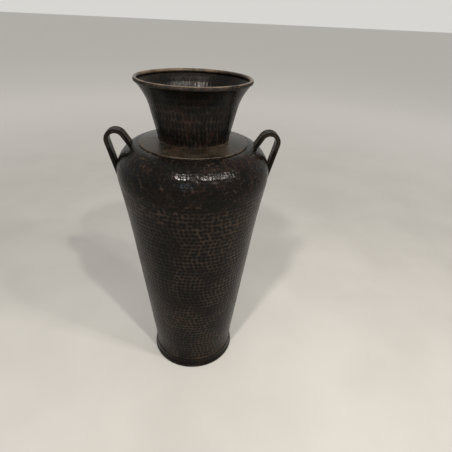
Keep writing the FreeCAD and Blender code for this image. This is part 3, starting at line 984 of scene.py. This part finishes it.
# %% The patina recipe
def make_patina():
    """Dark oxide, worn brown, rusty patches and fine specks."""
    tree = bpy.data.node_groups.new("patina", "ShaderNodeTree")
    socket(tree, "Dark", "NodeSocketColor", colour(9, 8, 7))
    socket(tree, "Worn", "NodeSocketColor", colour(56, 45, 36))
    socket(tree, "Rust", "NodeSocketColor", colour(52, 31, 23))
    for name, default in (
        ("Wear", 0.5), ("Rust share", 0.4), ("Patch size", 14.0), ("Roughness", 0.26),
    ):
        socket(tree, name, "NodeSocketFloat", default)
    result(tree, "Colour", "NodeSocketColor")
    result(tree, "Roughness", "NodeSocketFloat")
    result(tree, "Height", "NodeSocketFloat")
    given = tree.nodes.new("NodeGroupInput").outputs
    place = tree.nodes.new("ShaderNodeTexCoord").outputs["Object"]
    patches = noise(tree, place, given["Patch size"], 4.0, 0.6, 0.4)
    grain = noise(tree, place, GRAIN_SCALE, 5.0, 0.65)
    specks = noise(tree, place, SPECK_SCALE, 3.0, 0.6)
    shade = mix(tree, worn_share(tree, given, patches, grain), given["Dark"], given["Worn"])
    shade = mix(tree, rusty_share(tree, given, place, grain), shade, given["Rust"])
    pale = ramp(tree, specks, 0.69, 0.77, 0.0, 0.38)
    shade = mix(tree, pale, shade, SPECK_COLOUR)
    height = math_node(tree, "ADD", grain, math_node(tree, "MULTIPLY", specks, 0.4))
    outlet = tree.nodes.new("NodeGroupOutput").inputs
    tree.links.new(shade, outlet["Colour"])
    tree.links.new(sheen_roughness(tree, given, patches, grain), outlet["Roughness"])
    tree.links.new(height, outlet["Height"])
    return tree


patina = make_patina()
print("patina nodes:", len(patina.nodes))


# %% A material from the recipe
GRAIN_DEPTH = 0.00012


def finish_material(name, wear, metal=0.05, shine=0.09, **settings):
    """A Principled material fed by the patina; wear may be a function of the tree."""
    material = bpy.data.materials.new(name)
    material.use_nodes = True
    tree = material.node_tree
    shader = tree.nodes["Principled BSDF"]
    group = tree.nodes.new("ShaderNodeGroup")
    group.node_tree = patina
    feed(tree, group.inputs["Wear"], wear(tree) if callable(wear) else wear)
    for key, value in settings.items():
        group.inputs[key.replace("_", " ")].default_value = value
    tree.links.new(group.outputs["Colour"], shader.inputs["Base Color"])
    tree.links.new(group.outputs["Roughness"], shader.inputs["Roughness"])
    shader.inputs["Metallic"].default_value = metal
    shader.inputs["Specular IOR Level"].default_value = shine
    raised = tree.nodes.new("ShaderNodeBump")
    raised.inputs["Strength"].default_value = 1.0
    raised.inputs["Distance"].default_value = GRAIN_DEPTH
    tree.links.new(group.outputs["Height"], raised.inputs["Height"])
    tree.links.new(raised.outputs["Normal"], shader.inputs["Normal"])
    return material


# %% [markdown]
# ## Where each piece is worn
# A hand and a polishing rag touch what stands proud: the ridges between blows, the rim, the edge
# of the collar, the foot's bead and the crests of the reeds. The collar's edge also carries a
# painted highlight. Each wear mask is a smooth step on the piece's own coordinates or on the
# distance from the nearest blow.


# %% What a mask can read
def blow_share(tree):
    """0 at the middle of a blow, 1 at its reach and beyond."""
    attribute = tree.nodes.new("ShaderNodeAttribute")
    attribute.attribute_name = "from_blow"
    return attribute.outputs["Fac"]


def own_place(tree):
    """The point on the piece, in its own coordinates."""
    return tree.nodes.new("ShaderNodeTexCoord").outputs["Object"]


# %% Wear on the hammered shells
def blow_ridges(low, high):
    """Wear that follows the ridges between blows."""
    return lambda tree: ramp(tree, blow_share(tree), 0.60, 1.0, low, high)


def neck_wear(tree):
    """Wear on the neck: streaks between the marks, and a rim rubbed bright."""
    height = split(tree, own_place(tree))["Z"]
    rim = ramp(tree, height, neck_high.z - 0.010, neck_high.z - 0.002)
    below = ramp(tree, height, neck_high.z - 0.065, neck_high.z - 0.040, 1.0, 0.2)
    ridges = ramp(tree, blow_share(tree), 0.45, 1.0, 0.01, 0.11)
    streaks = math_node(tree, "MULTIPLY", ridges, below)
    return math_node(tree, "ADD", streaks, math_node(tree, "MULTIPLY", rim, 0.50), clamp=True)


# %% Wear on the collar, the foot and the handles
def collar_wear_and_edge_highlight(tree):
    """Mottled wear on top, painted highlight on the rubbed stepped edge, lighter ring by the neck.
    """
    flat = vector_node(tree, "MULTIPLY", own_place(tree), (1.0, 1.0, 0.0))
    reach = vector_node(tree, "LENGTH", flat)
    # The outer edge ring is painted light: a painted highlight laid over the rubbed wear there.
    edge = ramp(tree, reach, COLLAR_EDGE[0] - 0.003, COLLAR_EDGE[0], 0.30, 0.90)
    # The ring next to the neck is made lighter.
    joint = ramp(tree, reach, NECK_RADIUS + 0.0018, NECK_RADIUS + 0.0034, 0.75, 0.0)
    return math_node(tree, "ADD", edge, joint, clamp=True)


def foot_wear(tree):
    """Wear on the foot: the rolled bead is rubbed, the band above it stays dark."""
    return ramp(tree, split(tree, own_place(tree))["Z"], 0.0070, 0.0100, 1.0, 0.10)


def reed_wear(tree):
    """Wear on the handles: the crests of the reeds are rubbed, the grooves stay black."""
    parts = split(tree, own_place(tree))
    turns = math_node(tree, "MULTIPLY", parts["Y"], 2 * math.pi / reed_width)
    wave = math_node(tree, "COSINE", turns)
    aside = math_node(tree, "SUBTRACT", math_node(tree, "ABSOLUTE", parts["X"]), BEND_CENTRE[0])
    above = math_node(tree, "SUBTRACT", parts["Z"], BEND_CENTRE[1])
    away = vector_node(tree, "LENGTH", join(tree, aside, above))
    outer = ramp(tree, away, BEND_RADIUS + 0.002, BEND_RADIUS + 0.003)
    crests = math_node(tree, "MULTIPLY", ramp(tree, wave, -0.5, 0.9, -0.2, 0.75), outer)
    return math_node(tree, "ADD", crests, 0.2, clamp=True)


# %% [markdown]
# ## Finishes
# The hammered shells are the darkest and the glossiest. The collar, which was never hammered, and
# the handles, which are held, are a little browner. The wires and the inside are dull.

# %% One material for each piece
BODY = finish_material(
    "hammered copper", blow_ridges(0.02, 0.76),
    Rust_share=0.15, Patch_size=9.0, Roughness=0.23,
)
SHOULDER = finish_material(
    "hammered shoulder copper", blow_ridges(0.03, 0.81),
    Rust_share=0.32, Patch_size=13.0, Roughness=0.19,
)
NECK = finish_material(
    "streaked neck copper", neck_wear,
    Rust_share=0.30, Patch_size=11.0, Worn=colour(118, 102, 84),
)
# The collar's finish carries a painted highlight along its stepped edge, over the rubbed wear.
COLLAR = finish_material(
    "smooth collar copper", collar_wear_and_edge_highlight, shine=0.16, Rust_share=0.25, Patch_size=16.0,
    Roughness=0.28, Worn=colour(68, 58, 47), Dark=colour(14, 12, 10),
)
FOOT = finish_material("foot copper", foot_wear, Rust_share=0.2, Patch_size=15.0)
HANDLE = finish_material(
    "handle copper", reed_wear, Rust_share=0.2, Patch_size=20.0, Worn=colour(66, 57, 46)
)
INSIDE = finish_material(
    "dull inside copper", 0.15, metal=0.2, Rust_share=0.3, Patch_size=12.0, Roughness=0.6
)
WIRE = finish_material(
    "iron wire", 0.2, metal=0.3,
    Rust_share=0.7, Patch_size=60.0, Roughness=0.65, Worn=colour(96, 88, 80),
)
print("materials:", len(bpy.data.materials))

# %% Dress the pieces, and the CAD nodes that stay
DRESS = (
    (wall, BODY, "body_wall", "body_patina"),
    (shoulder, SHOULDER, "shoulder", "body_patina"),
    (neck, NECK, "neck", "neck_patina"),
    (collar, COLLAR, "collar", "collar_patina"),
    (foot, FOOT, "foot_band", "foot_patina"),
    (strap, HANDLE, "handle_right", "handle_patina"),
    (left_strap, HANDLE, "handle_left", "handle_patina"),
)
for piece, finish, node, slot in DRESS:
    piece.data.materials.clear()
    piece.data.materials.append(finish)
    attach(piece, "root")
    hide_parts(node)
    print(piece.name, "stands for", node, "with", finish.name)
for node, finish in (("base_plate", INSIDE), ("foot_wire", WIRE), ("rim_wire", WIRE)):
    for slot in nodes[node].material_slots:
        slot.material = finish
    print(node, "stays, with", finish.name)

# %% [markdown]
# ## Room and light
# The vase stands in a pale room: a wide pale floor, soft light from everywhere, and a few small
# bright lights where the photograph's windows and lamps show as highlights on the shoulder.

# %% Floor
FLOOR_SIZE = 80.0
bpy.ops.object.select_all(action="DESELECT")
bpy.ops.mesh.primitive_plane_add(size=FLOOR_SIZE, location=(0, 0, 0))
floor = bpy.context.object
floor.name = "floor"
floor_paint = bpy.data.materials.new("pale floor")
floor_paint.use_nodes = True
floor_tree = floor_paint.node_tree
floor_shader = floor_tree.nodes["Principled BSDF"]
floor_shader.inputs["Roughness"].default_value = 0.9
floor_place = floor_tree.nodes.new("ShaderNodeTexCoord").outputs["Object"]
floor_tone = ramp(floor_tree, noise(floor_tree, floor_place, 3.0, 3.0), 0.3, 0.7)
near_floor = mix(floor_tree, floor_tone, colour(168, 166, 162), colour(174, 172, 168))
# Far from the vase the floor is painted lighter and near it darker: painted light that makes up for
# the lamps' falloff, so the floor looks evenly bright.
painted_far_light_share = ramp(floor_tree, vector_node(floor_tree, "LENGTH", floor_place), 1.2, 4.5)
floor_colour_with_painted_light = mix(floor_tree, painted_far_light_share, near_floor, colour(240, 238, 234))
floor_tree.links.new(floor_colour_with_painted_light, floor_shader.inputs["Base Color"])
floor.data.materials.append(floor_paint)
floor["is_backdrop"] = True
print("floor", FLOOR_SIZE, "metres wide")

# %% Light from the room
world = bpy.data.worlds.new("room")
bpy.context.scene.world = world
world.use_nodes = True
world_tree = world.node_tree
background = world_tree.nodes["Background"]
background.inputs["Color"].default_value = colour(226, 224, 220)
background.inputs["Strength"].default_value = 0.62
seen = world_tree.nodes.new("ShaderNodeBackground")
seen.inputs["Color"].default_value = colour(216, 214, 210)
seen.inputs["Strength"].default_value = 1.0
path = world_tree.nodes.new("ShaderNodeLightPath")
blend = world_tree.nodes.new("ShaderNodeMixShader")
direct = path.outputs["Is Camera Ray"]
for ray in ("Is Glossy Ray", "Is Transmission Ray"):
    direct = math_node(world_tree, "MAXIMUM", direct, path.outputs[ray])
world_tree.links.new(direct, blend.inputs[0])
world_tree.links.new(background.outputs[0], blend.inputs[1])
world_tree.links.new(seen.outputs[0], blend.inputs[2])
world_tree.links.new(blend.outputs[0], world_tree.nodes["World Output"].inputs["Surface"])
print("room light", background.inputs["Strength"].default_value)

# %% [markdown]
# Each lamp is given by how far it is turned to the right of the viewer and how high it stands, in
# degrees, then its size in metres, its power in watts and its tint. All aim at the shoulder.

# %% Lamps
LAMP_REACH = 2.6
AIM = Vector((0, 0, 0.65))
LAMPS = (
    ("window", -20, 48, 0.18, 52.0, (1.0, 0.95, 0.88)),
    ("lamp_right", 24, 47, 0.11, 40.0, (1.0, 0.93, 0.84)),
    ("lamp_far_right", 50, 45, 0.12, 18.0, (1.0, 0.93, 0.84)),
    ("lamp_low_right", 57, 40, 0.14, 16.0, (1.0, 0.95, 0.90)),
    ("cool_window", -12, 19, 0.55, 8.0, (0.66, 0.82, 1.0)),
    ("fill_back", 180, 55, 1.5, 14.0, (1.0, 0.98, 0.95)),
)
for name, turn_deg, rise_deg, size, power, tint in LAMPS:
    level = turned(Vector((1, 0)), math.radians(turn_deg - 90)) * math.cos(math.radians(rise_deg))
    direction = Vector((level.x, level.y, math.sin(math.radians(rise_deg))))
    lamp = bpy.data.lights.new(name, "AREA")
    lamp.size = size
    lamp.energy = power
    lamp.color = tint
    holder = bpy.data.objects.new(name, lamp)
    bpy.context.scene.collection.objects.link(holder)
    holder.location = AIM + direction * LAMP_REACH
    holder.rotation_euler = direction.to_track_quat("Z", "Y").to_euler()
    print(name, [round(v, 2) for v in holder.location])

# %% [markdown]
# ## Sizes
# Last, the made pieces are measured, and the box round them and the box round the CAD model
# are both written down. The box round them has to lie inside the box round the CAD model.

# %% Measure the sizes
for piece in made:
    print(piece.name, "from", round(span(piece)[0], 5), "to", round(span(piece)[1], 5),
          "triangles", sum(len(face.vertices) - 2 for face in piece.data.polygons))
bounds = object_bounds()


def plain(boxes):
    """Bounds as plain lists."""
    if isinstance(boxes, dict):
        return {key: plain(value) for key, value in boxes.items()}
    return [[round(float(v), 5) for v in corner] for corner in boxes]


# %% Write the sizes and finish
{"cad": plain(cad_bounds), "scene": plain(bounds)}
